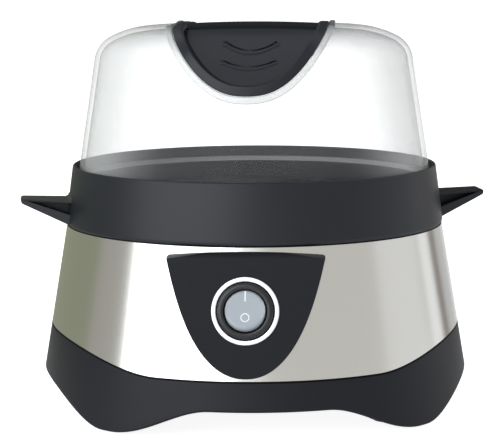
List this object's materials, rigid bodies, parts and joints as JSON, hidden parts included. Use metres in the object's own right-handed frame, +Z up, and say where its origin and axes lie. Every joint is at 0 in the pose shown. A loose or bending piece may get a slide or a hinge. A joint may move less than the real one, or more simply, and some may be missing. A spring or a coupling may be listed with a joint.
{
  "type": "electric egg cooker",
  "caption": "Countertop electric egg cooker: conical brushed-steel body on a black footed base, front rocker switch, lift-out rack with side ears and a clear lid with a scooped handle.",
  "frame": {"origin": "on the table under the middle of the body, at the undersides of the foot pads", "axes": "+Z up, the control panel faces -Y, the rack's ears point along X, turned by about 10 degrees"},
  "size_m": [0.2004, 0.1849, 0.1634],
  "materials": {
    "steel": "brushed upright",
    "black_plastic": "satin, fine grain",
    "screw_steel": "zinc plated",
    "rubber": "matte",
    "bright_trim": "bright satin",
    "switch_black": "semi gloss",
    "brass": "plain",
    "rocker_grey": "semi gloss",
    "bowl_metal": "satin",
    "heater_metal": "heat-darkened sheath",
    "cream_plastic": "matte",
    "lead_rubber": "smooth insulation",
    "clear_plastic": "clear, glossy"
  },
  "bodies": {
    "base": {"body_shell": "steel", "base_skirt": "black_plastic", "top_collar": "black_plastic", "bottom_cover": "black_plastic", "cover_screws": "screw_steel", "foot_screws": "screw_steel", "foot_pads": "rubber", "cord_gland": "rubber", "control_panel": "black_plastic", "switch_ring": "bright_trim", "switch_housing": "switch_black", "switch_terminals": "brass", "water_bowl": "bowl_metal", "heating_element": "heater_metal", "thermostat": "cream_plastic", "thermostat_strap": "screw_steel", "strap_nuts": "screw_steel", "thermal_fuse": "cream_plastic", "terminal_block": "cream_plastic", "inner_leads": "lead_rubber"},
    "rocker": {"rocker": "rocker_grey"},
    "rack": {"rack_band": "black_plastic", "seat_plate": "black_plastic"},
    "lid": {"lid_shell": "clear_plastic", "lid_handle": "black_plastic"}
  },
  "joints": [
    {"name": "rocker_tilt", "type": "hinge", "parent": "base", "child": "rocker", "pos_m": [0, -0.08644, 0.05268], "axis": [1, 0, 0], "range_deg": [0, 22]},
    {"name": "rack_lift", "type": "slide", "parent": "base", "child": "rack", "axis": [0, 0, 1], "range_m": [0, 0.12]},
    {"name": "lid_lift", "type": "slide", "parent": "rack", "child": "lid", "axis": [0, 0, 1], "range_m": [0, 0.12]}
  ]
}
